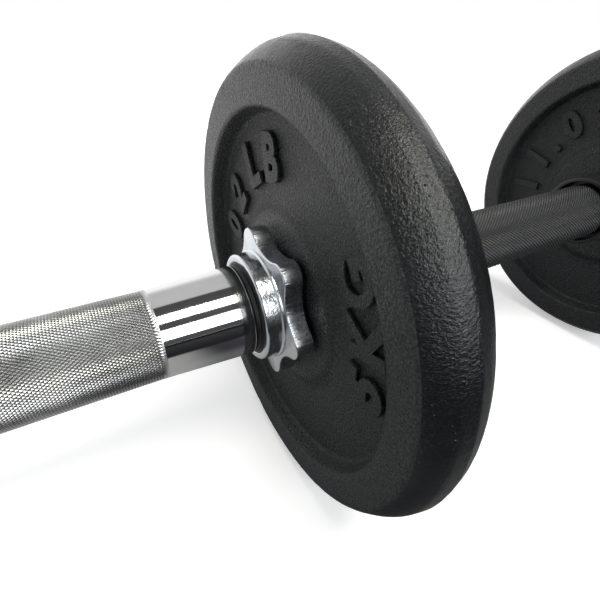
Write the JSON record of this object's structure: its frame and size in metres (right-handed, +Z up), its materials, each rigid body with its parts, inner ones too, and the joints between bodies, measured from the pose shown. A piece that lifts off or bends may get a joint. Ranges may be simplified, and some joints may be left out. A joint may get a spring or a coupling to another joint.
{
  "type": "adjustable dumbbell",
  "caption": "Spin-lock dumbbell: cast iron plates on a threaded steel bar, held by star nuts, with a black knurled grip and a chrome knurled connector tube screwed on the end.",
  "frame": {"origin": "middle of the grip, on the bar's axis", "axes": "+X along the bar towards the free threaded end, -X towards the connector tube, +Z up, with both plates resting on a floor at z = -0.105 m"},
  "size_m": [0.7726, 0.21, 0.21],
  "materials": {
    "bar_steel": "zinc-plated steel, rolled thread at both ends",
    "grip_black": "matte black diamond knurl",
    "collar_black": "satin black",
    "plate_iron": "semi-gloss black enamel over rough cast iron",
    "nut_zinc": "bright zinc plate",
    "rubber_black": "matte moulded rubber",
    "tube_chrome": "mirror chrome with a bright diamond knurl",
    "insert_steel": "machined, lightly oiled"
  },
  "bodies": {
    "bar": {"core_bar": "bar_steel", "grip_sleeve": "grip_black", "inner_collar_near": "collar_black", "inner_collar_far": "collar_black"},
    "near_plate": {"plate_near": "plate_iron"},
    "far_plate": {"plate_far": "plate_iron"},
    "near_washer": {"nut_gasket_near": "rubber_black"},
    "far_washer": {"nut_gasket_far": "rubber_black"},
    "near_nut": {"star_nut_near": "nut_zinc", "neck_ring_near": "rubber_black"},
    "far_nut": {"star_nut_far": "nut_zinc", "neck_ring_far": "rubber_black"},
    "connector_seal": {"connector_seal": "rubber_black"},
    "connector": {"connector_tube": "tube_chrome", "connector_insert_near": "insert_steel", "connector_insert_far": "insert_steel", "connector_end_ring": "rubber_black"}
  },
  "joints": [
    {"name": "near_washer_slide", "type": "slide", "parent": "bar", "child": "near_washer", "axis": [-1, 0, 0], "range_m": [0, 0.096]},
    {"name": "near_nut_spin", "type": "hinge", "parent": "near_washer", "child": "near_nut", "pos_m": [-0.15, 0, 0], "axis": [-1, 0, 0], "range_deg": [0, 8640]},
    {"name": "near_plate_slide", "type": "slide", "parent": "bar", "child": "near_plate", "axis": [-1, 0, 0], "range_m": [0, 0.096]},
    {"name": "far_washer_slide", "type": "slide", "parent": "bar", "child": "far_washer", "axis": [1, 0, 0], "range_m": [0, 0.096]},
    {"name": "far_nut_spin", "type": "hinge", "parent": "far_washer", "child": "far_nut", "pos_m": [0.15, 0, 0], "axis": [1, 0, 0], "range_deg": [0, 8640]},
    {"name": "far_plate_slide", "type": "slide", "parent": "bar", "child": "far_plate", "axis": [1, 0, 0], "range_m": [0, 0.096]},
    {"name": "connector_slide", "type": "slide", "parent": "near_nut", "child": "connector_seal", "axis": [-1, 0, 0], "range_m": [0, 0.052]},
    {"name": "connector_spin", "type": "hinge", "parent": "connector_seal", "child": "connector", "pos_m": [-0.17, 0, 0], "axis": [-1, 0, 0], "range_deg": [0, 4680]}
  ],
  "couplings": [
    {"joint": "near_nut_spin", "follows": "near_plate_slide", "rad_per_m": 1570.8},
    {"joint": "near_washer_slide", "follows": "near_plate_slide", "ratio": 1},
    {"joint": "far_nut_spin", "follows": "far_plate_slide", "rad_per_m": 1570.8},
    {"joint": "far_washer_slide", "follows": "far_plate_slide", "ratio": 1},
    {"joint": "connector_spin", "follows": "connector_slide", "rad_per_m": 1570.8}
  ]
}
